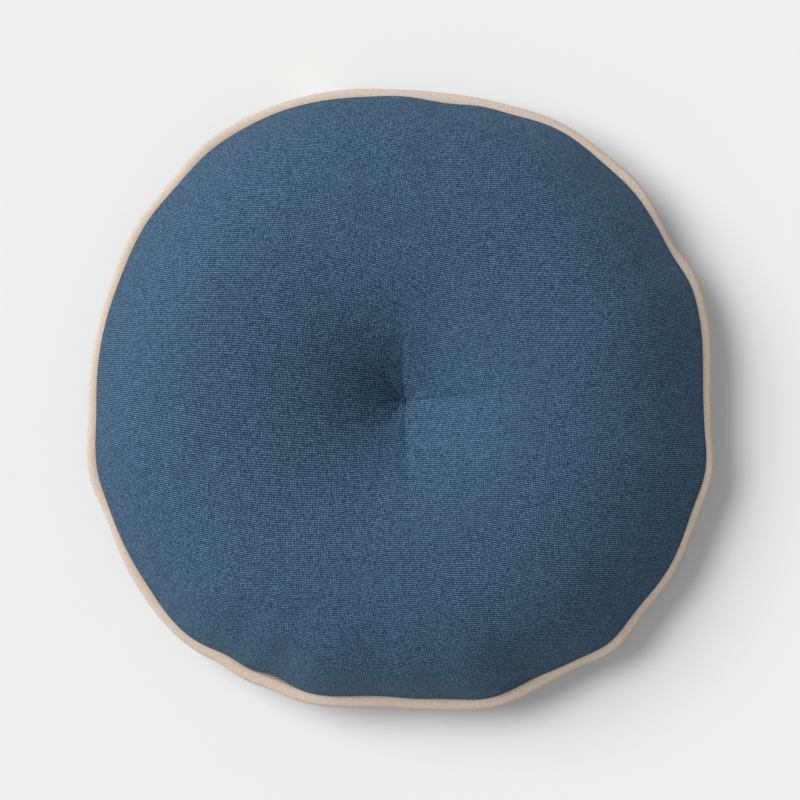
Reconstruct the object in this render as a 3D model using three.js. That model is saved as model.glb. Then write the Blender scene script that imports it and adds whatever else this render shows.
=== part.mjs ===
// Round knife-edge seat cushion: two woven panels, a piped seam, fibre filling and one central tuft.
// Millimetres, +Z up. The origin is on the floor, under the middle of the cushion. +Y is the back.
import * as THREE from 'three';

// ---- driving dimensions -------------------------------------------------------------------------
const overallDiameter = 457;          // across the piping, an 18 inch cushion
const overallHeight = 104;            // floor to the crown, which is a ring round the tuft
const seamHeight = 34;                // middle of the piping above the floor
const crownRadius = 119;              // where the top is highest
const restInnerRadius = 80;           // the flat ring that the cushion stands on
const restOuterRadius = 152;
const tuftTopHeight = 50;             // the top panel at the pinch
const tuftBaseHeight = 17;            // the bottom panel at the pinch
const bulgeRise = 7;                  // the panels are widest this far above and below the seam
const bulgeOverPiping = 2.75;         // how far they lie over the piping there
const pipingDiameter = 9.5;
const panelThickness = 1.2;
const pipingFabricThickness = 0.6;
const seamAllowance = 12;
const stitchSetback = 1;              // from the piping's roll to the line where the panels turn in
const threadRadius = 0.5;
const needleHoleRadius = 1.8;
const closingSpan = [62, 92];         // degrees round from +X, the gap left for filling
const labelAngle = 106;               // degrees round from +X
const labelWidth = 28;
const labelThickness = 0.8;           // both layers of the folded ribbon
const touchGap = 0.3;                 // clearance between pieces that touch

// Powers that shape the panels' curves: 1 is a straight cone, and more is rounder.
const topFunnelPower = 2.1;
const baseFunnelPower = 1.6;
const shoulderPower = 2.4;
const shoulderSquareness = 0.63;      // 0.5 is upright at the bulge, 1 slopes there

const ringFacets = 60;                // round the cushion
const funnelFacets = 5;               // along each stretch of a panel's profile
const shoulderFacets = 7;
const undersideFacets = 5;
const turnFacets = 3;
const pipingFacets = 12;              // round the piping
const cordFacets = 8;
const threadFacets = 5;
const twineFacets = 12;

// ---- worked out from them -----------------------------------------------------------------------
const pipingRadius = pipingDiameter / 2;
const pipingInnerRadius = pipingRadius - pipingFabricThickness;
const pipingCentre = overallDiameter / 2 - pipingRadius;
const stitchRadius = pipingCentre - pipingRadius - stitchSetback;
const hemRadius = stitchRadius - seamAllowance;
const bulgeRadius = pipingCentre - pipingRadius + bulgeOverPiping;
const flangeHalf = pipingFabricThickness + touchGap / 2;
const panelSeamOffset = flangeHalf + touchGap;                // seam middle to a turned-in panel
const panelSeamTop = panelSeamOffset + panelThickness;
const threadOffset = panelSeamTop + touchGap + threadRadius;
const threadRingRadius = stitchRadius - 4 * threadRadius;

// ---- profiles in the (radius, height) plane -----------------------------------------------------
const { lerp } = THREE.MathUtils;
const vec = (radius, height) => new THREE.Vector2(radius, height);

// Points of a curve given by a function of the share of the way along it, without its first end.
function curve(steps, pointAt) {
  return Array.from({ length: steps }, (_, i) => pointAt((i + 1) / steps));
}

// The last stretch of a panel's outer face: in from its widest point to the seam.
// side is 1 for the top panel and -1 for the bottom one.
function turnIntoSeam(side) {
  return curve(turnFacets, (share) => vec(
    lerp(bulgeRadius, stitchRadius, share * share),
    seamHeight + side * lerp(bulgeRise, panelSeamOffset, share),
  ));
}

// Outer face of the top panel, from the pinch over the crown to the seam.
function topOutline() {
  const funnelDepth = overallHeight - tuftTopHeight;
  const bulgeHeight = seamHeight + bulgeRise;
  return [
    vec(needleHoleRadius, tuftTopHeight),
    ...curve(funnelFacets, (share) => vec(
      lerp(needleHoleRadius, crownRadius, share),
      overallHeight - funnelDepth * (1 - share) ** topFunnelPower,
    )),
    ...curve(shoulderFacets, (share) => {
      const across = Math.sin(share * Math.PI / 2);
      const drop = (1 - across ** shoulderPower) ** shoulderSquareness;
      return vec(lerp(crownRadius, bulgeRadius, across), lerp(bulgeHeight, overallHeight, drop));
    }),
    ...turnIntoSeam(1),
  ];
}

// Outer face of the bottom panel, from the pinch over the flat resting ring to the seam.
function bottomOutline() {
  const bulgeHeight = seamHeight - bulgeRise;
  return [
    vec(needleHoleRadius, tuftBaseHeight),
    ...curve(funnelFacets, (share) => vec(
      lerp(needleHoleRadius, restInnerRadius, share),
      tuftBaseHeight * (1 - share) ** baseFunnelPower,
    )),
    vec(restOuterRadius, 0),
    ...curve(undersideFacets, (share) => vec(
      lerp(restOuterRadius, bulgeRadius, Math.sin(share * Math.PI / 2)),
      bulgeHeight * (1 - Math.cos(share * Math.PI / 2)),
    )),
    ...turnIntoSeam(-1),
  ];
}

// Moves each point of an open outline sideways: to its right for side 1, to its left for side -1.
function insetOutline(points, distance, side) {
  return points.map((point, i) => {
    const before = points[Math.max(i - 1, 0)];
    const after = points[Math.min(i + 1, points.length - 1)];
    const along = after.clone().sub(before).normalize();
    return vec(point.x + side * distance * along.y, point.y - side * distance * along.x);
  });
}

function arcPoints(centre, radius, fromDegrees, toDegrees, steps) {
  return Array.from({ length: steps + 1 }, (_, i) => {
    const angle = THREE.MathUtils.degToRad(lerp(fromDegrees, toDegrees, i / steps));
    return vec(centre.x + radius * Math.cos(angle), centre.y + radius * Math.sin(angle));
  });
}

// ---- solids -------------------------------------------------------------------------------------
// Turns a closed profile about the vertical axis. LatheGeometry turns about Y, so Y becomes Z.
function revolve(profile) {
  const closed = [...profile, profile[0].clone()];
  const outward = THREE.ShapeUtils.area(profile) < 0 ? closed.reverse() : closed;
  return new THREE.LatheGeometry(outward, ringFacets).rotateX(Math.PI / 2);
}

// A panel: its outer face, its inner face, and between them the allowance turned into the seam.
function panelGeometry(outline, side) {
  const inner = insetOutline(outline, panelThickness, side);
  const hemOuter = seamHeight + side * panelSeamOffset;
  const hemInner = seamHeight + side * panelSeamTop;
  const innerCorner = inner.findLastIndex((p) => side * (p.y - hemInner) > touchGap);
  return revolve([
    ...outline,
    vec(hemRadius, hemOuter),
    vec(hemRadius, hemInner),
    vec(inner[innerCorner].x, hemInner),
    ...inner.slice(0, innerCorner + 1).reverse(),
  ]);
}

// The piping's bias strip: round the cord, then two parallel layers running into the seam.
function pipingCoverGeometry() {
  const centre = vec(pipingCentre, seamHeight);
  const outerGap = THREE.MathUtils.radToDeg(Math.asin(flangeHalf / pipingRadius));
  const innerGap = THREE.MathUtils.radToDeg(Math.asin(touchGap / 2 / pipingInnerRadius));
  return revolve([
    vec(hemRadius, seamHeight + flangeHalf),
    ...arcPoints(centre, pipingRadius, 180 - outerGap, outerGap - 180, pipingFacets),
    vec(hemRadius, seamHeight - flangeHalf),
    vec(hemRadius, seamHeight - touchGap / 2),
    ...arcPoints(centre, pipingInnerRadius, innerGap - 180, 180 - innerGap, pipingFacets),
    vec(hemRadius, seamHeight + touchGap / 2),
  ]);
}

function ringGeometry(ringRadius, height, radius, facets) {
  return revolve(arcPoints(vec(ringRadius, height), radius, 0, 360, facets).slice(0, facets));
}

// The filling: the space inside both panels, with a groove that leaves room for the seam allowances.
function fillGeometry() {
  const inset = panelThickness + touchGap;
  const grooveHalf = threadOffset + threadRadius + touchGap;
  const grooveRadius = hemRadius - touchGap;
  const lipRadius = stitchRadius - touchGap;
  const above = insetOutline(topOutline(), inset, 1).filter((p) => p.y > seamHeight + grooveHalf);
  const below = insetOutline(bottomOutline(), inset, -1).filter((p) => p.y < seamHeight - grooveHalf);
  return revolve([
    ...above,
    vec(lipRadius, seamHeight + grooveHalf),
    vec(grooveRadius, seamHeight + grooveHalf),
    vec(grooveRadius, seamHeight - grooveHalf),
    vec(lipRadius, seamHeight - grooveHalf),
    ...below.reverse(),
  ]);
}

// The twine: a small stitch on the top panel, the shank through the filling, and a knot underneath.
function twineGeometry() {
  const shankRadius = needleHoleRadius - 2 * touchGap;
  const stitchHalfWidth = 2.6;
  const stitchHeight = 1.6;
  const knotRadius = 3.2;
  const knotHeight = 3.8;
  const stitchBase = tuftTopHeight + 1.6;
  const knotTop = tuftBaseHeight - 2 * touchGap;
  const outline = [
    vec(0, knotTop - knotHeight),
    vec(knotRadius * 0.9, knotTop - knotHeight * 0.8),
    vec(knotRadius, knotTop - knotHeight * 0.4),
    vec(shankRadius, knotTop),
    vec(shankRadius, stitchBase),
    vec(stitchHalfWidth, stitchBase + stitchHeight * 0.3),
    vec(stitchHalfWidth * 0.8, stitchBase + stitchHeight * 0.75),
    vec(0, stitchBase + stitchHeight),
  ];
  return new THREE.LatheGeometry(outline, twineFacets).rotateX(Math.PI / 2);
}

// Slip stitches along part of the seam, in the groove between the piping and the bottom panel.
function closingThreadGeometry() {
  const radius = pipingCentre - 2 * threadRadius;
  const height = seamHeight - pipingRadius - 2.6 * threadRadius;
  const [from, to] = closingSpan.map(THREE.MathUtils.degToRad);
  const arc = new THREE.EllipseCurve(0, 0, radius, radius, from, to);
  const steps = 16;
  const route = new THREE.CatmullRomCurve3(
    arc.getPoints(steps).map((p) => new THREE.Vector3(p.x, p.y, height)),
  );
  const section = new THREE.Shape().absarc(0, 0, threadRadius, 0, 2 * Math.PI);
  return new THREE.ExtrudeGeometry(section, { extrudePath: route, steps, curveSegments: 3 });
}

// A folded ribbon that hangs from the seam and follows the bottom panel's curve.
function careLabelGeometry() {
  const clearance = 3 * touchGap;
  const covered = bottomOutline().slice(-turnFacets - undersideFacets + 1, 1 - turnFacets);
  const near = insetOutline(covered, clearance, 1);
  const far = insetOutline(covered, clearance + labelThickness, 1);
  const section = new THREE.Shape([...near, ...far.reverse()]);
  return new THREE.ExtrudeGeometry(section, { depth: labelWidth, bevelEnabled: false })
    .translate(0, 0, -labelWidth / 2)
    .rotateX(Math.PI / 2)
    .rotateZ(THREE.MathUtils.degToRad(labelAngle));
}

// ---- the cushion --------------------------------------------------------------------------------
const finishes = {
  canvas: { color: '#415d7c', roughness: 0.9 },
  piping: { color: '#d2bda8', roughness: 0.85 },
  cord: { color: '#e8e4da', roughness: 0.95 },
  thread: { color: '#3d5672', roughness: 0.7 },
  fibre: { color: '#f2f2ef', roughness: 1 },
  label: { color: '#ece9e2', roughness: 0.5 },
};

function part(name, geometry, finish) {
  const material = new THREE.MeshStandardMaterial({ ...finishes[finish], metalness: 0 });
  const mesh = new THREE.Mesh(geometry, material);
  mesh.name = name;
  return mesh;
}

const threadRing = (side) =>
  ringGeometry(threadRingRadius, seamHeight + side * threadOffset, threadRadius, threadFacets);
const cord = ringGeometry(pipingCentre, seamHeight, pipingInnerRadius - touchGap, cordFacets);

const cushion = new THREE.Group();
cushion.add(
  part('top_panel', panelGeometry(topOutline(), 1), 'canvas'),
  part('bottom_panel', panelGeometry(bottomOutline(), -1), 'canvas'),
  part('piping_cover', pipingCoverGeometry(), 'piping'),
  part('piping_cord', cord, 'cord'),
  part('seam_needle_thread', threadRing(1), 'thread'),
  part('seam_bobbin_thread', threadRing(-1), 'thread'),
  part('fibre_fill', fillGeometry(), 'fibre'),
  part('tuft_twine', twineGeometry(), 'thread'),
  part('closing_thread', closingThreadGeometry(), 'thread'),
  part('care_label', careLabelGeometry(), 'label'),
);

export default cushion;
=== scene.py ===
"""A round seat cushion with a piped seam and one central tuft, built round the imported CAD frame.

Metres, in the row frame: +Z is up, +Y is the back, and the floor is z = 0. Every piece rides on the
part's one body. The overall sizes come from the CAD nodes' boxes; the hand-sewn unevenness is added here.
"""

import math

import bpy
import numpy as np
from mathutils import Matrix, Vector


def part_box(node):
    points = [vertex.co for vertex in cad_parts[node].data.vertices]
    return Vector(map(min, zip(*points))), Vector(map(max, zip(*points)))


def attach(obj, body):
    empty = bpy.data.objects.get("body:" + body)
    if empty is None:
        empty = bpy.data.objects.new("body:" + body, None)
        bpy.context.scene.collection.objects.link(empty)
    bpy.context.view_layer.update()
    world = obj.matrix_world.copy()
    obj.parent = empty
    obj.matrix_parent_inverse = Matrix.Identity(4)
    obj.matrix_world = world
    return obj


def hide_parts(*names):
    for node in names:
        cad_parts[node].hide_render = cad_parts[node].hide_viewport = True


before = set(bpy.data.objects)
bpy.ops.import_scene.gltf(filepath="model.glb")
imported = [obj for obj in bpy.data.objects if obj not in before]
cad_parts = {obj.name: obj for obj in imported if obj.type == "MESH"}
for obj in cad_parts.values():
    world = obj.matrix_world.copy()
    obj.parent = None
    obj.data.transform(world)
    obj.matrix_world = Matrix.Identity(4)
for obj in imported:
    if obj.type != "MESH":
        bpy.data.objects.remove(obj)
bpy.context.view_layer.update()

MM = 0.001
TURN = 2 * math.pi
BODY = "root"

# ---- sizes ---------------------------------------------------------------------------------------
cover_low, cover_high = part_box("piping_cover")
OUTER_RADIUS = (cover_high.x - cover_low.x) / 2
PIPING_RADIUS = (cover_high.z - cover_low.z) / 2
SEAM_HEIGHT = (cover_high.z + cover_low.z) / 2
CROWN_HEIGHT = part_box("top_panel")[1].z
BULGE_RADIUS = (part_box("top_panel")[1].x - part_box("top_panel")[0].x) / 2

CROWN_RADIUS = 114 * MM  # where the top is highest
CROWN_LEAN = 15 * MM  # how much nearer the middle that is on the right
TUFT_ASIDE = np.array([2.5, 0]) * MM  # the tuft isn't quite at the middle
REST_INNER = 80 * MM  # the flat ring that the cushion stands on
REST_OUTER = 152 * MM
TUFT_TOP = 50 * MM  # the top panel at the pinch
TUFT_BASE = 17 * MM  # the bottom panel at the pinch
NEEDLE_HOLE = 1.8 * MM
BULGE_RISE = 5.8 * MM  # the panels are widest this far above and below the seam
STITCH_SETBACK = 1 * MM  # from the piping's roll to the line where the panels turn in
SEAM_ALLOWANCE = 12 * MM
FLANGE_HALF = 0.35 * MM  # from the seam's middle to either layer of the piping strip
PANEL_SEAM_OFFSET = 1.05 * MM  # from the seam's middle to a turned-in panel
THREAD_RADIUS = 0.4 * MM
CROWN_FOLLOWS = 0.3  # how much of the outline's unevenness the crown has

# Powers that shape the panels' curves: 1 is a straight cone, and more is rounder.
TOP_FUNNEL_POWER = 2.3
BASE_FUNNEL_POWER = 1.6
SHOULDER_SQUARENESS = 0.9  # 0.5 is upright where the panel is widest, and 1 slopes there

SIDES = 144  # round a panel
THETA = np.arange(SIDES) * TURN / SIDES
PINCH_DIP = 0.5 * MM  # how far a panel's middle is drawn in past the ring of cloth round it
PIPING_STEPS = 432
PIPING_SIDES = 20

# ---- hand-sewn unevenness, by direction in degrees round from +X --------------------------------
# How far the piping lies outside the true circle, in millimetres.
OUTLINE = [
    (0, -3), (16, 3), (24, 3.6), (30, -0.6), (34, 0.8), (41, 5), (50, 4), (60, 3.6), (70, -1),
    (88, -4), (104, 1.2), (116, 4.3), (127, 5.5), (137, 1), (146, 1), (158, -2.6), (176, -3.4),
    (182, -2.8), (195, 3.4), (200, 1.4), (214, 5), (230, 6.5), (236, 3), (241, 3.4), (246, 1.4),
    (251, 1.8), (268, -5.4), (275, -3), (288, 5), (300, 3.8), (304, 5), (310, 10.8), (320, 6.8),
    (326, 7.2), (340, 4), (346, 5), (355, -1.8),
]
# How much more of the piping shows from above than on the even CAD cushion, in millimetres.
PIPING_SHOWN = [
    (0, -0.5), (14, 0.2), (21, -0.8), (25, 0), (31, -2.2), (41, 0.3), (60, -1.4), (69, -0.5),
    (75, -1.2), (80, 0.8), (90, -1.9), (96, -0.7), (112, -1), (125, 0.4), (140, -1.3), (151, -0.8),
    (166, -2), (186, -0.5), (195, -0.2), (202, -2), (215, 0.3), (230, -0.6), (236, 1.8), (241, 2),
    (245, 4.4), (250, 1.8), (265, 2.3), (272, 1.4), (280, 2.6), (285, 0.8), (294, 3.4), (301, 0),
    (314, 0.9), (321, -0.3), (330, -0.9), (345, -0.2), (350, -1),
]
# How far the seam rises and falls on its way round, in millimetres.
SEAM_WAVE = [
    (0, 1.6), (22, -1.2), (45, -1.6), (72, 1.8), (90, 1.4), (120, -1.8), (150, 0.6), (175, 2),
    (198, -1.4), (228, -2.2), (265, 1), (288, -1.6), (310, -2.4), (335, -1), (350, 0.8),
]
# How full the top's shoulder is: the power of the curve from the crown to the seam.
FULLNESS = [
    (0, 2.5), (30, 3.4), (60, 3.0), (90, 2.6), (120, 2.4), (150, 2.2), (180, 2.2), (212, 2.1),
    (240, 3.4), (270, 4.0), (300, 3.1), (330, 2.2),
]
# Creases that run out from the tuft: direction, depth, how far it spreads to the clockwise and to the
# counter-clockwise side, and length. Angles are in degrees.
CREASES = [
    (89.5, 4.5 * MM, 18, 40, 95 * MM),
    (3, 6.2 * MM, 28, 14, 108 * MM),
    (274, 5.6 * MM, 20, 13, 95 * MM),
]


# ---- small helpers -------------------------------------------------------------------------------
def lerp(a, b, share):
    return a + (b - a) * share


def smooth(share):
    share = np.clip(share, 0, 1)
    return share * share * (3 - 2 * share)


def around(points, unit=MM):
    """A smooth function of the angle in radians through (degrees, value) points, times the unit."""
    angle = np.radians([p[0] for p in points])
    value = np.array([p[1] for p in points]) * unit
    angle = np.concatenate([angle[-2:] - TURN, angle, angle[:2] + TURN])
    value = np.concatenate([value[-2:], value, value[:2]])
    slope = np.gradient(value, angle)

    def at(theta):
        theta = np.mod(theta, TURN)
        i = np.clip(np.searchsorted(angle, theta, side="right") - 1, 0, len(angle) - 2)
        step = angle[i + 1] - angle[i]
        t = (theta - angle[i]) / step
        start = (1 + 2 * t) * (1 - t) ** 2 * value[i] + t * (1 - t) ** 2 * step * slope[i]
        end = t * t * (3 - 2 * t) * value[i + 1] + t * t * (t - 1) * step * slope[i + 1]
        return start + end

    return at


outline_offset = around(OUTLINE)
piping_shown = around(PIPING_SHOWN)
seam_wave = around(SEAM_WAVE)
fullness = around(FULLNESS, 1)


def rim(theta):
    """Radii of the piping's middle, of where the panels turn in and of their widest point, and the seam
    height."""
    piping = OUTER_RADIUS + outline_offset(theta) - PIPING_RADIUS
    stitch = piping - PIPING_RADIUS - STITCH_SETBACK
    bulge = BULGE_RADIUS + outline_offset(theta) - piping_shown(theta)
    return piping, stitch, bulge, SEAM_HEIGHT + seam_wave(theta)


def polar(radius, theta, height):
    """Points from rings of radius and height at the angles theta, as (rings, sides, 3)."""
    radius, height = np.broadcast_arrays(radius, height)
    return np.stack([radius * np.cos(theta), radius * np.sin(theta), height], axis=-1)


# ---- the panels ----------------------------------------------------------------------------------
FUNNEL_RINGS = 24
BASE_FUNNEL_RINGS = 12
SHOULDER_RINGS = 18
REST_RINGS = 7
TURN_RINGS = 5
FUNNEL_SPACING = 1.3  # more than 1 puts the funnel's rings closer together near the pinch


def turn_into_seam(side, stitch, bulge, seam):
    """The last rings of a panel: in from its widest point to the seam, then the hidden allowance."""
    rings = []
    for share in np.arange(1, TURN_RINGS + 1) / TURN_RINGS:
        rise = lerp(BULGE_RISE, PANEL_SEAM_OFFSET, share)
        rings.append((lerp(bulge, stitch, share * share), seam + side * rise))
    for share in (0.5, 1):
        rings.append((stitch - SEAM_ALLOWANCE * share, seam + side * PANEL_SEAM_OFFSET))
    return rings


def top_rings(theta):
    """The top panel's outer face from the pinch over the crown to the seam, as (radii, heights)."""
    _, stitch, bulge, seam = rim(theta)
    crown = CROWN_RADIUS + (bulge - BULGE_RADIUS) * CROWN_FOLLOWS - CROWN_LEAN * np.cos(theta)
    rings = []
    for share in (np.arange(FUNNEL_RINGS) / FUNNEL_RINGS) ** FUNNEL_SPACING:
        depth = (CROWN_HEIGHT - TUFT_TOP) * (1 - share) ** TOP_FUNNEL_POWER
        rings.append((lerp(NEEDLE_HOLE, crown, share), CROWN_HEIGHT - depth + 0 * seam))
    for share in np.arange(SHOULDER_RINGS + 1) / SHOULDER_RINGS:
        across = math.sin(share * math.pi / 2)
        drop = (1 - across ** fullness(theta)) ** SHOULDER_SQUARENESS
        rings.append((lerp(crown, bulge, across), lerp(seam + BULGE_RISE, CROWN_HEIGHT, drop)))
    rings += turn_into_seam(1, stitch, bulge, seam)
    return np.array([r for r, _ in rings]), np.array([z for _, z in rings])


def bottom_rings(theta):
    """The bottom panel's outer face, from the pinch over the flat resting ring to the seam."""
    _, stitch, bulge, seam = rim(theta)
    rings = []
    for share in (np.arange(BASE_FUNNEL_RINGS) / BASE_FUNNEL_RINGS) ** FUNNEL_SPACING:
        rise = TUFT_BASE * (1 - share) ** BASE_FUNNEL_POWER
        rings.append((lerp(NEEDLE_HOLE, REST_INNER, share) + 0 * seam, rise + 0 * seam))
    for share in np.arange(REST_RINGS) / REST_RINGS:
        rings.append((lerp(REST_INNER, REST_OUTER, share) + 0 * seam, 0 * seam))
    for share in np.arange(SHOULDER_RINGS + 1) / SHOULDER_RINGS:
        across = math.sin(share * math.pi / 2)
        rise = (seam - BULGE_RISE) * (1 - math.cos(share * math.pi / 2))
        rings.append((lerp(REST_OUTER, bulge, across), rise))
    rings += turn_into_seam(-1, stitch, bulge, seam)
    return np.array([r for r, _ in rings]), np.array([z for _, z in rings])


def flat_cut(radius, height, drawn_in):
    """The distance of each ring from the middle of the cloth before it was sewn. The first rings, which
    the tuft draws in, are stretched cloth, so there it's the distance seen from above."""
    r, z = radius.mean(axis=1), height.mean(axis=1)
    steps = np.hypot(np.diff(r), np.diff(z))
    steps[:drawn_in] = np.diff(r)[:drawn_in]
    return np.concatenate([[r[0]], r[0] + np.cumsum(steps)])


def lattice(rows, columns, wrap_rows=False, wrap_columns=False, flip=False):
    """Quads of a lattice of points, and each corner's place in it, which runs on past a wrapped edge."""
    faces, places = [], []
    for i in range(rows if wrap_rows else rows - 1):
        for j in range(columns if wrap_columns else columns - 1):
            corners = [(i, j), (i + 1, j), (i + 1, j + 1), (i, j + 1)]
            if flip:
                corners.reverse()
            faces.append(tuple(a % rows * columns + b % columns for a, b in corners))
            places.extend(corners)
    return faces, np.array(places)


PINNED_RADIUS = 16 * MM  # the cloth that the twine holds
BESIDE_SEAM = 0.6  # how firmly the rings next to the seam are held, where 1 is fixed
SIMULATED_FRAMES = 20
CLOTH_QUALITY = 6
CLOTH_MASS = 0.25
PRESSURE = 4
MOST_MOVED = 2 * MM
FADE_RINGS = 10  # the swelling fades out over this many rings towards the top's edge


def simulate(points, faces, held):
    """Blows the sewn cover up with Blender's cloth simulation and returns the points' new places."""
    mesh = bpy.data.meshes.new("cover_under_pressure")
    mesh.from_pydata(points.tolist(), [], faces)
    cover = bpy.data.objects.new(mesh.name, mesh)
    bpy.context.scene.collection.objects.link(cover)
    group = cover.vertex_groups.new(name="held")
    for weight in (1.0, BESIDE_SEAM):
        group.add(np.flatnonzero(np.isclose(held, weight)).tolist(), weight, "REPLACE")
    cloth = cover.modifiers.new("cloth", "CLOTH")
    cloth.settings.quality = CLOTH_QUALITY
    cloth.settings.mass = CLOTH_MASS
    cloth.settings.use_pressure = True
    cloth.settings.uniform_pressure_force = PRESSURE
    cloth.settings.vertex_group_mass = group.name
    cloth.settings.effector_weights.gravity = 0
    cloth.point_cache.frame_start = 1
    cloth.point_cache.frame_end = SIMULATED_FRAMES
    for step in range(1, SIMULATED_FRAMES + 1):
        bpy.context.scene.frame_set(step)
    shown = cover.evaluated_get(bpy.context.evaluated_depsgraph_get()).to_mesh()
    moved = np.zeros(len(shown.vertices) * 3, np.float32)
    shown.vertices.foreach_get("co", moved)
    bpy.data.objects.remove(cover)
    bpy.context.scene.frame_set(1)
    return moved.reshape(-1, 3).astype(float)


def swelling(theta, top, bottom):
    """How far pressure moves each ring point of the two panels outward and up. Only the uneven part is
    kept, because the profile already has the even part."""
    sides = len(theta)
    sewn = len(top) - 2  # the two allowance rings aren't under pressure
    sewn_below = len(bottom) - 3  # and the bottom panel's seam ring is the top panel's
    loop = np.concatenate([top[:sewn], bottom[:sewn_below][::-1]])
    points = np.concatenate([loop.reshape(-1, 3), [top[0].mean(axis=0), bottom[0].mean(axis=0)]])
    faces, _ = lattice(len(loop), sides, wrap_columns=True)
    last = (len(loop) - 1) * sides
    for j in range(sides):
        k = (j + 1) % sides
        faces.append((len(points) - 2, j, k))
        faces.append((len(points) - 1, last + k, last + j))
    distance = np.hypot(points[:, 0], points[:, 1])
    held = np.where(distance < PINNED_RADIUS, 1.0, 0.0)
    seam = slice((sewn - 1) * sides, sewn * sides)
    held[seam.start - sides : seam.stop + sides] = BESIDE_SEAM
    held[seam] = 1.0
    moved = (simulate(points, faces, held) - points)[:-2].reshape(len(loop), sides, 3)
    outward = moved[..., 0] * np.cos(theta) + moved[..., 1] * np.sin(theta)
    uneven = np.stack([outward, moved[..., 2]], axis=-1)
    uneven -= uneven.mean(axis=1, keepdims=True)
    size = np.linalg.norm(uneven, axis=-1, keepdims=True)
    uneven *= np.minimum(1, MOST_MOVED / np.maximum(size, 1e-9))
    inside = FUNNEL_RINGS + SHOULDER_RINGS - np.arange(sewn)  # PIPING_SHOWN has the edge's unevenness
    uneven[:sewn] *= smooth(inside / FADE_RINGS)[:, None, None]
    still = np.zeros((2, sides, 2))
    return (
        np.concatenate([uneven[:sewn], still]),
        np.concatenate([uneven[sewn:][::-1], still[:1], still]),
    )


CREASE_START = 26 * MM  # a crease is at its full depth from here
CREASE_FADE = 30 * MM  # and grows shallower from here on
GATHERS = 9  # small folds round the pinch
GATHER_DEPTH = 0.9 * MM
GATHER_FULL = 6 * MM
GATHER_FADE = (8 * MM, 28 * MM)


def creases(radius, theta):
    """How deep the creases and the small gathers round the tuft are at each point of the top panel."""
    depth = np.zeros_like(radius)
    for direction, deep, clockwise, counter, length in CREASES:
        away = np.mod(np.degrees(theta) - direction + 180, 360) - 180
        spread = np.exp(-np.abs(away) / np.where(away < 0, clockwise, counter))
        fade = 1 - smooth((radius - CREASE_FADE) / (length - CREASE_FADE))
        depth += deep * smooth(radius / CREASE_START) * fade * spread
    gathers = 0.5 + 0.5 * np.cos(GATHERS * theta + 1.2 * np.sin(2 * theta + 0.7))
    fade = 1 - smooth((radius - GATHER_FADE[0]) / (GATHER_FADE[1] - GATHER_FADE[0]))
    return depth + GATHER_DEPTH * gathers * smooth(radius / GATHER_FULL) * fade


def add_piece(name, shape, material, slot, *nodes, subdivide=0):
    """Makes a piece from (points, faces, flat place of each face corner), standing for the CAD nodes."""
    points, faces, flat = shape
    points = np.array(points, float)
    near_tuft = 1 - smooth(np.hypot(points[:, 0], points[:, 1]) / CROWN_RADIUS)
    points[:, :2] += TUFT_ASIDE * near_tuft[:, None]
    mesh = bpy.data.meshes.new(name)
    mesh.from_pydata(points.tolist(), [], faces)
    mesh.polygons.foreach_set("use_smooth", [True] * len(mesh.polygons))
    mesh.uv_layers.new(name="cloth").data.foreach_set("uv", np.asarray(flat, np.float32).ravel())
    mesh.materials.append(material)
    piece = bpy.data.objects.new(name, mesh)
    bpy.context.scene.collection.objects.link(piece)
    if subdivide:
        finer = piece.modifiers.new("finer", "SUBSURF")
        finer.levels = finer.render_levels = subdivide
    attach(piece, BODY)
    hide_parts(*nodes)
    return piece


def panel_shape(radius, height, theta, cut, side):
    """A panel's points, faces and flat places. It closes over the pinch with one middle point."""
    points = polar(radius, theta, height).reshape(-1, 3)
    middle = (0, 0, height[0].mean() - side * PINCH_DIP)
    faces, places = lattice(len(radius), len(theta), wrap_columns=True, flip=side < 0)
    for j in range(len(theta)):
        k = (j + 1) % len(theta)
        faces.append((len(points), j, k) if side > 0 else (len(points), k, j))
    spot = np.stack(
        [
            cut[places[:, 0]] * np.cos(theta[places[:, 1] % len(theta)]),
            cut[places[:, 0]] * np.sin(theta[places[:, 1] % len(theta)]),
        ],
        axis=-1,
    )
    fan = np.zeros((len(theta), 3, 2))
    inner = cut[0] * np.stack([np.cos(theta), np.sin(theta)], axis=-1)
    fan[:, 1 if side > 0 else 2] = inner
    fan[:, 2 if side > 0 else 1] = np.roll(inner, -1, axis=0)
    return np.vstack([points, middle]), faces, np.vstack([spot, fan.reshape(-1, 2)])


def sewn_cover():
    """The radii and heights of both panels' rings, with the swelling under pressure and the creases."""
    top_r, top_z = top_rings(THETA)
    base_r, base_z = bottom_rings(THETA)
    sewn = polar(top_r, THETA, top_z), polar(base_r, THETA, base_z)
    top_shift, base_shift = swelling(THETA, *sewn)
    top_r, top_z = top_r + top_shift[..., 0], top_z + top_shift[..., 1]
    base_r, base_z = base_r + base_shift[..., 0], base_z + base_shift[..., 1]
    return top_r, top_z - creases(top_r, THETA), base_r, np.maximum(base_z, 0)


def add_panels(canvas, top_r, top_z, base_r, base_z):
    top_cut = flat_cut(top_r, top_z, FUNNEL_RINGS)
    base_cut = flat_cut(base_r, base_z, BASE_FUNNEL_RINGS)
    top = panel_shape(top_r, top_z, THETA, top_cut, 1)
    base = panel_shape(base_r, base_z, THETA, base_cut, -1)
    add_piece("top_canvas", top, canvas, "panel_canvas", "top_panel", subdivide=1)
    add_piece("bottom_canvas", base, canvas, "panel_canvas", "bottom_panel", subdivide=1)


# ---- the filling ---------------------------------------------------------------------------------
FILL_INSET = 2.5 * MM
FILL_LUMPS = 1.2 * MM
FILL_HOLE = 3 * MM
FIBRE_SPACING = 5 * MM  # the flat size of one face, for the material


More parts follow.
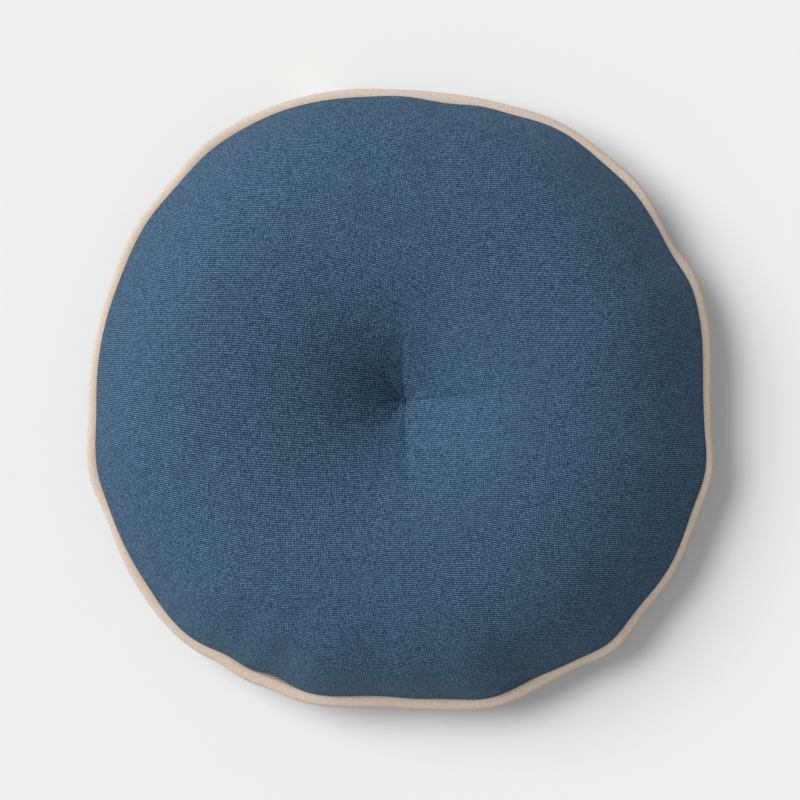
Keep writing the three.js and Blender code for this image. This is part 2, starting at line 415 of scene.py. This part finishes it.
def add_fill(fibre, top_r, top_z, base_r, base_z):
    """The filling just inside the cover, lumpy, with a hole for the twine and a groove at the seam."""
    widest = slice(None, -TURN_RINGS - 2)
    radius = np.concatenate([top_r[widest], base_r[widest][::-1]])
    height = np.concatenate([top_z[widest], base_z[widest][::-1]])
    along_r = np.roll(radius, -1, axis=0) - np.roll(radius, 1, axis=0)
    along_z = np.roll(height, -1, axis=0) - np.roll(height, 1, axis=0)
    length = np.maximum(np.hypot(along_r, along_z), 1e-6)
    ring = np.arange(len(radius))[:, None]
    lumps = 0.5 + 0.5 * np.sin(0.9 * ring + 3 * THETA) * np.cos(0.5 * ring - 7 * THETA)
    inset = FILL_INSET + FILL_LUMPS * lumps
    radius = np.maximum(radius + inset * along_z / length, FILL_HOLE)
    height = height - inset * along_r / length
    faces, places = lattice(len(radius), SIDES, wrap_rows=True, wrap_columns=True)
    points = polar(radius, THETA, height).reshape(-1, 3)
    shape = points, faces, places * FIBRE_SPACING
    add_piece("fibre_filling", shape, fibre, "polyester_fibre", "fibre_fill")


# ---- the piped seam ------------------------------------------------------------------------------
def seam_line(steps, radius_at, rise_at=lambda theta: 0 * theta):
    """Points along a closed line that follows the seam, and the level direction out from it at each."""
    theta = np.arange(steps) * TURN / steps
    height = SEAM_HEIGHT + seam_wave(theta) + rise_at(theta)
    points = polar(radius_at(theta), theta, height)
    along = np.roll(points, -1, axis=0) - np.roll(points, 1, axis=0)
    along[:, 2] = 0
    along /= np.linalg.norm(along, axis=1, keepdims=True)
    return points, np.stack([along[:, 1], -along[:, 0], 0 * theta], axis=-1)


def distances(points, closed):
    """How far along a line each of its points is, and for a closed line its whole length last."""
    ring = np.vstack([points, points[:1]]) if closed else np.asarray(points)
    return np.concatenate([[0], np.cumsum(np.linalg.norm(np.diff(ring, axis=0), axis=1))])


def swept(points, outward, across, closed):
    """Sweeps a section (steps, count, 2) of outward and upward offsets along a closed line."""
    rows = points[:, None] + across[..., :1] * outward[:, None] + across[..., 1:] * np.array([0, 0, 1])
    columns = across.shape[1]
    faces, places = lattice(len(points), columns, True, closed, flip=True)
    along, width = distances(points, True), distances(across[0], closed)
    flat = np.stack([along[places[:, 0]], width[places[:, 1]]], axis=-1)
    return rows.reshape(-1, 3), faces, flat


PIPING_HALF_HEIGHT = 4.3 * MM  # the cord is soft, so the roll lies a little flat
PIPING_FLATNESS = 0.82  # 1 is an ellipse, and less is squarer
PIPING_RISE = 1.5 * MM  # the roll's middle above the seam


def squarer(wave):
    return np.sign(wave) * np.abs(wave) ** PIPING_FLATNESS


def add_piping(fabric):
    """The bias strip: rolled round the cord, with both its edges running into the seam."""
    points, outward = seam_line(PIPING_STEPS, lambda theta: rim(theta)[0])
    gap = math.asin(FLANGE_HALF / PIPING_RADIUS)
    roll = np.linspace(math.pi - gap, gap - math.pi, PIPING_SIDES + 1)
    wide = PIPING_RADIUS * squarer(np.cos(roll))
    high = PIPING_RISE + PIPING_HALF_HEIGHT * squarer(np.sin(roll))
    hem = -PIPING_RADIUS - STITCH_SETBACK - SEAM_ALLOWANCE
    inside = [(hem, FLANGE_HALF), ((hem - PIPING_RADIUS) / 2, FLANGE_HALF)]
    across = [*inside, *zip(wide, high)]
    across += [(x, -z) for x, z in reversed(inside)]
    across = np.broadcast_to(np.array(across), (PIPING_STEPS, len(across), 2))
    shape = swept(points, outward, across, closed=False)
    add_piece("piping_strip", shape, fabric, "piping_fabric", "piping_cover")


CORD_RADIUS = 3.6 * MM
CORD_TWIST = 17 * MM  # from one strand's crest to the next along the cord
CORD_STEPS = 900
CORD_SIDES = 12
CORD_GROOVE = 0.1  # half the depth of the grooves between strands, as a share of the radius
STITCH_LENGTH = 3.2 * MM
STITCH_DIP = 0.3 * MM
STITCH_INSET = 2 * MM  # from the line where the panels turn in to the seam's threads
THREAD_CLEARANCE = 0.2 * MM
THREAD_STEPS = 1760
THREAD_SIDES = 5


def add_cord(cotton):
    """The cotton cord inside the piping: three strands, so its section is a turning trefoil."""
    points, outward = seam_line(
        CORD_STEPS, lambda theta: rim(theta)[0], lambda theta: np.full_like(theta, PIPING_RISE)
    )
    turns = round(distances(points, True)[-1] / CORD_TWIST)
    turned = np.arange(CORD_STEPS)[:, None] * TURN * turns / CORD_STEPS
    angle = -np.arange(CORD_SIDES) * TURN / CORD_SIDES
    radius = CORD_RADIUS * (1 - CORD_GROOVE + CORD_GROOVE * np.cos(3 * angle - turned))
    across = np.stack([radius * np.cos(angle), radius * np.sin(angle)], axis=-1)
    shape = swept(points, outward, across, closed=True)
    add_piece("filler_cord", shape, cotton, "piping_cord", "piping_cord")


def add_seam_threads(thread):
    """The machine seam's upper and lower threads, which dip at each needle hole."""
    angle = -np.arange(THREAD_SIDES) * TURN / THREAD_SIDES
    section = THREAD_RADIUS * np.stack([np.cos(angle), np.sin(angle)], axis=-1)
    stitches = round(TURN * rim(0)[1] / STITCH_LENGTH)
    for name, node, side in (
        ("needle_thread", "seam_needle_thread", 1),
        ("bobbin_thread", "seam_bobbin_thread", -1),
    ):
        clear = PANEL_SEAM_OFFSET + THREAD_RADIUS + THREAD_CLEARANCE
        points, outward = seam_line(
            THREAD_STEPS,
            lambda theta: rim(theta)[1] - STITCH_INSET,
            lambda theta: side * (clear + STITCH_DIP * np.abs(np.sin(stitches * theta / 2))),
        )
        across = np.broadcast_to(section, (THREAD_STEPS, THREAD_SIDES, 2))
        shape = swept(points, outward, across, closed=True)
        add_piece(name, shape, thread, "sewing_thread", node)


# ---- threads with ends ---------------------------------------------------------------------------
def tube(path, radius, sides, reference=(0, 0, 1)):
    """A round thread with closed ends along a path of points. The reference is never along the path."""
    path = np.asarray(path, float)
    along = np.gradient(path, axis=0)
    along /= np.linalg.norm(along, axis=1, keepdims=True)
    side = np.cross(along, reference)
    side /= np.linalg.norm(side, axis=1, keepdims=True)
    up = np.cross(side, along)
    angle = np.arange(sides) * TURN / sides
    round_it = np.cos(angle)[:, None] * side[:, None] + np.sin(angle)[:, None] * up[:, None]
    points = (path[:, None] + radius * round_it).reshape(-1, 3)
    faces, places = lattice(len(path), sides, wrap_columns=True)
    flat = np.stack([distances(path, False)[places[:, 0]], radius * places[:, 1]], axis=-1)
    faces += [tuple(range(sides)), tuple(range(len(points) - 1, len(points) - 1 - sides, -1))]
    return points, faces, np.vstack([flat, np.zeros((2 * sides, 2))])


def together(*shapes):
    """Several shapes as one."""
    points, faces, flat = [], [], []
    for some_points, some_faces, some_flat in shapes:
        start = sum(len(p) for p in points)
        faces += [tuple(start + v for v in face) for face in some_faces]
        points.append(some_points)
        flat.append(some_flat)
    return np.vstack(points), faces, np.vstack(flat)


TWINE_RADIUS = 0.6 * MM
TWINE_SIDES = 8
TWINE_TURNS = 4.5
TWINE_PAST_PINCH = 1 * MM  # how far the shank runs past the panels
CROSS_STITCH = (25, 118)  # the directions of its two threads, in degrees
CROSS_REACH = 3.1 * MM  # from its middle to an end
CROSS_RISE = 1.5 * MM
CROSS_DIP = 2.4 * MM  # how far its ends go back into the cloth
KNOT_SIZE = 0.85 * MM
KNOT_DROP = 2.6 * MM


def add_twine(twine):
    """The tuft's twine: a small cross stitch on top, the shank, and a knot underneath."""
    radius = TWINE_RADIUS
    shank = []
    for start in (0, math.pi):
        t = np.linspace(0, 1, 60)
        turned = start + t * TWINE_TURNS * TURN
        height = lerp(TUFT_BASE - TWINE_PAST_PINCH, TUFT_TOP + TWINE_PAST_PINCH, t)
        path = np.stack([radius * np.cos(turned), radius * np.sin(turned), height], axis=-1)
        shank.append(tube(path, radius, TWINE_SIDES, reference=(1, 0, 0)))
    stitches = []
    for direction in (math.radians(degrees) for degrees in CROSS_STITCH):
        t = np.linspace(-1, 1, 15)
        height = TUFT_TOP + CROSS_RISE - CROSS_DIP * t**4
        across = CROSS_REACH * t
        path = np.stack([across * math.cos(direction), across * math.sin(direction), height], axis=-1)
        stitches.append(tube(path, radius, TWINE_SIDES, reference=(0.2, 0.1, 1)))
    t = np.linspace(0.15, TURN - 0.15, 60)
    knot = np.stack(
        [np.sin(t) + 2 * np.sin(2 * t), np.cos(t) - 2 * np.cos(2 * t), -1.1 * np.sin(3 * t)], axis=-1
    )
    knot = knot * KNOT_SIZE + np.array([0, 0, TUFT_BASE - KNOT_DROP])
    shape = together(*shank, *stitches, tube(knot, radius, TWINE_SIDES))
    add_piece("tuft_thread", shape, twine, "tuft_twine", "tuft_twine")


CLOSING_SPAN = (62, 92)  # degrees, where the opening for the filling was sewn up by hand
CLOSING_STITCH = 4.5 * MM
CLOSING_POINTS = 8  # along one stitch
CLOSING_OFF_PANEL = (0.2 * MM, -0.4 * MM)  # out from and above the panel's widest point
CLOSING_OFF_PIPING = (0.3 * MM, -0.1 * MM)  # out from and above the lowest point of a round roll


def add_closing_stitches(thread, base_r, base_z):
    """Slip stitches that go to and fro between the bottom panel and the underside of the piping."""
    start, end = (math.radians(degrees) for degrees in CLOSING_SPAN)
    count = round((end - start) * OUTER_RADIUS / CLOSING_STITCH)
    theta = np.linspace(start, end, CLOSING_POINTS * count + 1)
    piping, _, _, seam = rim(theta)
    widest = len(base_r) - TURN_RINGS - 3
    panel_r = np.interp(theta, THETA, base_r[widest]) + CLOSING_OFF_PANEL[0]
    panel_z = np.interp(theta, THETA, base_z[widest]) + CLOSING_OFF_PANEL[1]
    to_piping = 0.5 - 0.5 * np.cos(np.arange(len(theta)) * TURN / CLOSING_POINTS)
    radius = lerp(panel_r, piping + CLOSING_OFF_PIPING[0], to_piping)
    height = lerp(panel_z, seam - PIPING_RADIUS + CLOSING_OFF_PIPING[1], to_piping)
    path = polar(radius, theta, height)
    shape = tube(path, THREAD_RADIUS, 6)
    add_piece("closing_stitches", shape, thread, "sewing_thread", "closing_thread")


# ---- the care label ------------------------------------------------------------------------------
LABEL_ANGLE = math.radians(106)
LABEL_WIDTH = 28 * MM
LABEL_DROP = 31 * MM  # from the seam to the fold
LABEL_COLUMNS = 9
LABEL_STEPS = 22
LABEL_GAP = 0.5 * MM  # from the panel to the label at the seam
LABEL_LIFT = 2.2 * MM  # how much further off the panel it hangs by the fold
LABEL_BOW = 0.5 * MM
LABEL_OPEN = 0.9 * MM  # between its two layers
LABEL_BEND = 0.5 * MM  # how far the fold reaches past them


def add_label(satin, base_r, base_z):
    """A blank ribbon, folded in two and caught in the seam by both ends, along the bottom panel."""
    rows = []
    for x in np.linspace(-0.5, 0.5, LABEL_COLUMNS) * LABEL_WIDTH:
        theta = LABEL_ANGLE + x / OUTER_RADIUS
        profile = [
            (np.interp(theta, THETA, base_r[i]), np.interp(theta, THETA, base_z[i]))
            for i in range(len(base_r) - 3, len(base_r) // 3, -1)
        ]
        profile = np.array(profile)
        reach = distances(profile, False)
        at = np.linspace(0, LABEL_DROP, LABEL_STEPS)
        line = np.stack([np.interp(at, reach, profile[:, k]) for k in (0, 1)], axis=-1)
        along = np.gradient(line, axis=0)
        along /= np.linalg.norm(along, axis=1, keepdims=True)
        out = np.stack([-along[:, 1], along[:, 0]], axis=-1)
        out *= np.sign(out[len(out) // 2, 0])
        lift = LABEL_GAP + LABEL_LIFT * smooth((at - 0.35 * LABEL_DROP) / LABEL_DROP)
        bow = LABEL_BOW * math.cos(3 * x / LABEL_WIDTH)
        under = line + out * (lift + bow * at / LABEL_DROP)[:, None]
        over = under + out * LABEL_OPEN
        bend = (under[-1] + over[-1]) / 2 + along[-1] * LABEL_BEND
        folded = np.vstack([under, bend, over[::-1]])
        rows.append(np.array([[r * math.cos(theta), r * math.sin(theta), z] for r, z in folded]))
    rows = np.array(rows)
    length = distances(rows[LABEL_COLUMNS // 2], False)
    faces, places = lattice(LABEL_COLUMNS, rows.shape[1])
    flat = np.stack(
        [places[:, 0] * LABEL_WIDTH / (LABEL_COLUMNS - 1), length[places[:, 1]]], axis=-1
    )
    label = add_piece(
        "care_ribbon", (rows.reshape(-1, 3), faces, flat), satin, "label_satin", "care_label",
        subdivide=1,
    )


# ---- materials -----------------------------------------------------------------------------------
CANVAS_PITCH = (1.69 * MM, 1.465 * MM)  # from one warp yarn to the next, and from one row to the next
CANVAS_TURNED = 5.1  # degrees
PIPING_PITCH = (0.7 * MM, 0.7 * MM)
BIAS = 45.0  # degrees
YARN_WANDER = 0.5 * MM
RIB_PITCH = 0.45 * MM


def add_node(tree, kind, inputs=None, **settings):
    """A shader node with its settings, and its inputs set to values or linked to sockets."""
    made = tree.nodes.new("ShaderNode" + kind)
    for name, value in settings.items():
        setattr(made, name, value)
    for name, value in (inputs or {}).items():
        if isinstance(value, bpy.types.NodeSocket):
            tree.links.new(value, made.inputs[name])
        else:
            made.inputs[name].default_value = value
    return made


def calc(tree, operation, *values, clamp=False):
    inputs = dict(enumerate(values))
    return add_node(tree, "Math", inputs, operation=operation, use_clamp=clamp).outputs[0]


def noise(tree, vector, scale, detail=2.0, roughness=0.5):
    inputs = {"Vector": vector, "Scale": scale, "Detail": detail, "Roughness": roughness}
    return add_node(tree, "TexNoise", inputs, noise_dimensions="3D").outputs[0]


def spread_to(tree, value, low, high, new_low=0.0, new_high=1.0):
    inputs = {"Value": value, "From Min": low, "From Max": high}
    inputs.update({"To Min": new_low, "To Max": new_high})
    return add_node(tree, "MapRange", inputs, clamp=True).outputs[0]


def mix_colours(tree, share, a, b, blend="MIX"):
    made = add_node(tree, "Mix", {0: share, 6: a, 7: b}, data_type="RGBA", blend_type=blend)
    return made.outputs[2]


def new_material(name):
    """A material with one Principled shader, and its tree and shader."""
    material = bpy.data.materials.new(name)
    material.use_nodes = True
    tree = material.node_tree
    return material, tree, tree.nodes["Principled BSDF"]


def weave(tree, pitch, turned):
    """A plain weave on the flat cloth. Returns the place in warps and wefts, the yarns' numbers, whether
    the weft is on top, how near the middle of its row and column a point is, a random tone for each
    small stretch of a weft, how high the upper yarn stands, and the flat place."""
    flat = add_node(tree, "UVMap", uv_map="cloth").outputs[0]
    wander = add_node(
        tree, "TexNoise", {"Vector": flat, "Scale": 14.0, "Detail": 1.0}, noise_dimensions="2D"
    ).outputs["Color"]
    wander = add_node(
        tree, "VectorMath", {0: wander, 1: (0.5, 0.5, 0.5)}, operation="SUBTRACT"
    ).outputs[0]
    bent = add_node(
        tree,
        "VectorMath",
        {0: wander, 1: (YARN_WANDER, YARN_WANDER, 0), 2: flat},
        operation="MULTIPLY_ADD",
    ).outputs[0]
    place = add_node(
        tree,
        "Mapping",
        {
            "Vector": bent,
            "Rotation": (0, 0, math.radians(turned)),
            "Scale": (1 / pitch[0], 1 / pitch[1], 1),
        },
        vector_type="POINT",
    ).outputs[0]
    split = add_node(tree, "SeparateXYZ", {0: place})
    across, along = split.outputs[0], split.outputs[1]
    warp_wave = calc(tree, "SINE", calc(tree, "MULTIPLY", across, math.pi))
    weft_wave = calc(tree, "SINE", calc(tree, "MULTIPLY", along, math.pi))
    crossing = calc(tree, "MULTIPLY", warp_wave, weft_wave)
    warp, weft = calc(tree, "FLOOR", across), calc(tree, "FLOOR", along)
    stretch = calc(tree, "FLOOR", calc(tree, "MULTIPLY", across, 3.0))
    stretch = add_node(tree, "CombineXYZ", {0: stretch, 1: weft}).outputs[0]
    fleck = add_node(tree, "TexWhiteNoise", {"Vector": stretch}, noise_dimensions="2D").outputs[0]
    return {
        "across": across,
        "along": along,
        "warp": warp,
        "weft": weft,
        "weft_up": calc(tree, "GREATER_THAN", crossing, 0.0),
        "ridge": calc(tree, "ABSOLUTE", weft_wave),
        "column": calc(tree, "ABSOLUTE", warp_wave),
        "fleck": fleck,
        "height": calc(tree, "SQRT", calc(tree, "ABSOLUTE", crossing)),
        "flat": flat,
    }


def yarn_tone(tree, number, along, stretch, seed):
    """How light a yarn is on its way along, different for each yarn."""
    vector = add_node(
        tree,
        "CombineXYZ",
        {
            0: calc(tree, "MULTIPLY", along, stretch),
            1: calc(tree, "MULTIPLY", number, 7.31),
            2: seed,
        },
    ).outputs[0]
    return spread_to(tree, noise(tree, vector, 1.0, detail=1.0), 0.3, 0.7)


def canvas_material():
    """Heathered canvas: the weft makes the rows, and each yarn's tone changes on its way along. Each row
    and column is painted darker towards its edges, as painted shade on the round yarns.
    """
    material, tree, shader = new_material("blue_canvas")
    cloth = weave(tree, CANVAS_PITCH, CANVAS_TURNED)
    weft = yarn_tone(tree, cloth["weft"], cloth["across"], 0.65, 3.0)
    warp = yarn_tone(tree, cloth["warp"], cloth["along"], 0.5, 9.0)
    duller_warp = calc(tree, "MULTIPLY_ADD", warp, 0.5, 0.2)
    tone = add_node(tree, "Mix", {0: cloth["weft_up"], 2: duller_warp, 3: weft}).outputs[0]
    # Painted shade: darker towards the edges of each weft row and warp column, where the round yarns turn
    # away from the light.
    rows = calc(tree, "POWER", cloth["ridge"], 2.4)
    columns = calc(tree, "MULTIPLY_ADD", cloth["column"], 0.7, 0.5)
    fibres = spread_to(tree, cloth["fleck"], 0.0, 1.0, 0.3, 1.7)
    shade = calc(tree, "MULTIPLY", rows, calc(tree, "MULTIPLY_ADD", tone, 0.4, 0.495))
    shade = calc(tree, "MULTIPLY", shade, calc(tree, "MULTIPLY", columns, fibres))
    clumps = spread_to(tree, noise(tree, cloth["flat"], 190.0, detail=3.0), 0.3, 0.7, 0.9, 1.1)
    shade = calc(tree, "MULTIPLY", shade, clumps)
    colour = mix_colours(tree, shade, (0.005, 0.021, 0.042, 1), (0.128, 0.260, 0.420, 1))
    tint = spread_to(tree, noise(tree, cloth["flat"], 42.0, detail=2.0), 0.35, 0.65)
    tinted = mix_colours(tree, tint, (1.01, 1.0, 0.992, 1), (0.99, 1.0, 1.008, 1))
    colour = mix_colours(tree, 1.0, colour, tinted, "MULTIPLY")
    tree.links.new(colour, shader.inputs["Base Color"])
    bump = add_node(
        tree, "Bump", {"Strength": 0.6, "Distance": 0.25 * MM, "Height": cloth["height"]}
    )
    tree.links.new(bump.outputs[0], shader.inputs["Normal"])
    shader.inputs["Roughness"].default_value = 0.83
    shader.inputs["Specular IOR Level"].default_value = 0.3
    shader.inputs["Sheen Weight"].default_value = 0.07
    shader.inputs["Sheen Roughness"].default_value = 0.45
    shader.inputs["Sheen Tint"].default_value = (0.35, 0.70, 1.0, 1)
    return material


def piping_material():
    """Fine plain-weave cotton cut on the bias, so the yarns run at 45 degrees round the cord."""
    material, tree, shader = new_material("beige_cotton")
    cloth = weave(tree, PIPING_PITCH, BIAS)
    slubs = noise(tree, cloth["flat"], 420.0, detail=3.0)
    # Painted shade: the cloth is darker where the yarns dip between crossings, following the bump's
    # height; the slubs are random tone.
    shade = calc(tree, "MULTIPLY_ADD", cloth["height"], 0.6, 0.15)
    shade = calc(tree, "MULTIPLY", shade, spread_to(tree, slubs, 0.3, 0.7, 0.8, 1.25))
    colour = mix_colours(tree, shade, (0.44, 0.342, 0.262, 1), (0.84, 0.708, 0.60, 1))
    tree.links.new(colour, shader.inputs["Base Color"])
    puckers = noise(tree, cloth["flat"], 90.0, detail=2.0)
    height = calc(tree, "ADD", calc(tree, "MULTIPLY", puckers, 3.0), cloth["height"])
    bump = add_node(tree, "Bump", {"Strength": 0.5, "Distance": 0.15 * MM, "Height": height})
    tree.links.new(bump.outputs[0], shader.inputs["Normal"])
    shader.inputs["Roughness"].default_value = 0.85
    return material


def yarn_material(name, dark, light, pitch, lean, roughness):
    """Twisted yarn or cord: slanting plies along the thread, with loose fibres."""
    material, tree, shader = new_material(name)
    flat = add_node(tree, "UVMap", uv_map="cloth").outputs[0]
    split = add_node(tree, "SeparateXYZ", {0: flat})
    slant = calc(tree, "MULTIPLY_ADD", split.outputs[1], lean, split.outputs[0])
    plies = calc(tree, "ABSOLUTE", calc(tree, "SINE", calc(tree, "MULTIPLY", slant, math.pi / pitch)))
    fuzz = noise(tree, flat, 900.0, detail=3.0)
    # Painted shade: darker where the bump is lower, in the grooves between the plies and in the fuzz.
    shade = calc(tree, "MULTIPLY_ADD", plies, 0.6, calc(tree, "MULTIPLY", fuzz, 0.5))
    tree.links.new(mix_colours(tree, shade, dark, light), shader.inputs["Base Color"])
    height = calc(tree, "ADD", plies, fuzz)
    bump = add_node(tree, "Bump", {"Strength": 0.7, "Distance": 0.2 * MM, "Height": height})
    tree.links.new(bump.outputs[0], shader.inputs["Normal"])
    shader.inputs["Roughness"].default_value = roughness
    return material


def fibre_material():
    """Carded polyester: white tangled fibres."""
    material, tree, shader = new_material("white_fibre")
    flat = add_node(tree, "UVMap", uv_map="cloth").outputs[0]
    tangle = noise(tree, flat, 300.0, detail=5.0, roughness=0.7)
    # Painted shade: the fibres are darker where the bump is lower, in the tangle's hollows.
    colour = mix_colours(tree, tangle, (0.70, 0.70, 0.68, 1), (0.93, 0.93, 0.91, 1))
    tree.links.new(colour, shader.inputs["Base Color"])
    bump = add_node(tree, "Bump", {"Strength": 0.8, "Distance": 1 * MM, "Height": tangle})
    tree.links.new(bump.outputs[0], shader.inputs["Normal"])
    shader.inputs["Roughness"].default_value = 1.0
    return material


def satin_material():
    """Satin ribbon: fine ribs along its length and a soft gloss."""
    material, tree, shader = new_material("white_satin")
    flat = add_node(tree, "UVMap", uv_map="cloth").outputs[0]
    split = add_node(tree, "SeparateXYZ", {0: flat})
    ribs = calc(tree, "SINE", calc(tree, "MULTIPLY", split.outputs[0], TURN / RIB_PITCH))
    slubs = noise(tree, flat, 260.0, detail=2.0)
    # Painted shade: the ribs are darker in their grooves, following the bump; the slubs are random tone.
    shade = calc(tree, "MULTIPLY_ADD", ribs, 0.15, slubs)
    colour = mix_colours(tree, shade, (0.70, 0.68, 0.63, 1), (0.86, 0.84, 0.80, 1))
    tree.links.new(colour, shader.inputs["Base Color"])
    bump = add_node(tree, "Bump", {"Strength": 0.4, "Distance": 0.1 * MM, "Height": ribs})
    tree.links.new(bump.outputs[0], shader.inputs["Normal"])
    shader.inputs["Roughness"].default_value = 0.38
    shader.inputs["Sheen Weight"].default_value = 0.2
    return material


def floor_material():
    """A plain pale floor that gives off a little light, so the shadows on it are pale too."""
    material, tree, shader = new_material("pale_floor")
    where = add_node(tree, "TexCoord").outputs["Object"]
    speckle = spread_to(tree, noise(tree, where, 3.0), 0.3, 0.7, 0.0, 1.0)
    colour = mix_colours(tree, speckle, (0.760, 0.760, 0.760, 1), (0.768, 0.768, 0.768, 1))
    tree.links.new(colour, shader.inputs["Base Color"])
    shader.inputs["Emission Color"].default_value = (1, 1, 1, 1)
    shader.inputs["Emission Strength"].default_value = FLOOR_GLOW
    shader.inputs["Roughness"].default_value = 1.0
    shader.inputs["Specular IOR Level"].default_value = 0.0
    return material


# ---- floor, light and camera ---------------------------------------------------------------------
FLOOR_SIZE = 16
FLOOR_GAP = 0.3 * MM  # the floor is this far under the cushion, so that no two faces coincide
FLOOR_GLOW = 0.098
BACKDROP = 0.862  # how bright the camera sees the world, apart from the light that it gives
SENSOR_WIDTH = 36
CAMERA_HEIGHT = 2.4
VIEW_WIDTH = 0.580  # what the picture shows across at the seam's height
SKY = 0.285  # the soft light from all round, as a share of all the light
SUN_ELEVATION = 46.5
SUN_AZIMUTH = 155  # degrees round from +X, so the light comes from the left
SUN_WIDTH = 40


def add_floor():
    half = FLOOR_SIZE / 2
    mesh = bpy.data.meshes.new("floor")
    corners = [(-half, -half), (half, -half), (half, half), (-half, half)]
    mesh.from_pydata([(x, y, -FLOOR_GAP) for x, y in corners], [], [(0, 1, 2, 3)])
    mesh.materials.append(floor_material())
    floor = bpy.data.objects.new("floor", mesh)
    bpy.context.scene.collection.objects.link(floor)


def add_light():
    elevation, azimuth = math.radians(SUN_ELEVATION), math.radians(SUN_AZIMUTH)
    lamp = bpy.data.lights.new("window", "SUN")
    lamp.energy = math.pi * (1 - SKY) / math.sin(elevation)
    lamp.angle = math.radians(SUN_WIDTH)
    sun = bpy.data.objects.new("window", lamp)
    flat = math.cos(elevation)
    towards = Vector((flat * math.cos(azimuth), flat * math.sin(azimuth), math.sin(elevation)))
    sun.rotation_mode = "QUATERNION"
    sun.rotation_quaternion = towards.to_track_quat("Z", "Y")
    bpy.context.scene.collection.objects.link(sun)
    world = bpy.data.worlds.new("studio")
    world.use_nodes = True
    tree = world.node_tree
    lit = tree.nodes["Background"]
    lit.inputs["Color"].default_value = (1, 1, 1, 1)
    lit.inputs["Strength"].default_value = SKY
    seen = add_node(tree, "Background", {"Color": (1, 1, 1, 1), "Strength": BACKDROP})
    to_camera = add_node(tree, "LightPath").outputs["Is Camera Ray"]
    both = add_node(tree, "MixShader", {0: to_camera, 1: lit.outputs[0], 2: seen.outputs[0]})
    tree.links.new(both.outputs[0], tree.nodes["World Output"].inputs["Surface"])
    bpy.context.scene.world = world


def add_camera():
    data = bpy.data.cameras.new("camera")
    data.sensor_width = SENSOR_WIDTH
    data.lens = data.sensor_width * (CAMERA_HEIGHT - SEAM_HEIGHT) / VIEW_WIDTH
    camera = bpy.data.objects.new("camera", data)
    camera.location = (0, 0, CAMERA_HEIGHT)
    bpy.context.scene.collection.objects.link(camera)
    bpy.context.scene.camera = camera
    bpy.context.scene.view_settings.view_transform = "Standard"


add_camera()
add_light()
add_floor()
blue_canvas = canvas_material()
beige_cotton = piping_material()
cotton_cord = yarn_material(
    "cotton_cord", (0.62, 0.57, 0.48, 1), (0.86, 0.82, 0.74, 1), 1.2 * MM, 0.6, 0.95
)
sewing_thread = yarn_material(
    "blue_thread", (0.030, 0.062, 0.100, 1), (0.075, 0.135, 0.205, 1), 0.5 * MM, 0.8, 0.6
)
tuft_twine = yarn_material(
    "blue_twine", (0.014, 0.030, 0.050, 1), (0.036, 0.068, 0.106, 1), 0.8 * MM, 0.8, 0.7
)
cover = sewn_cover()
add_panels(blue_canvas, *cover)
add_fill(fibre_material(), *cover)
add_piping(beige_cotton)
add_cord(cotton_cord)
add_seam_threads(sewing_thread)
add_twine(tuft_twine)
add_closing_stitches(sewing_thread, *cover[2:])
add_label(satin_material(), *cover[2:])
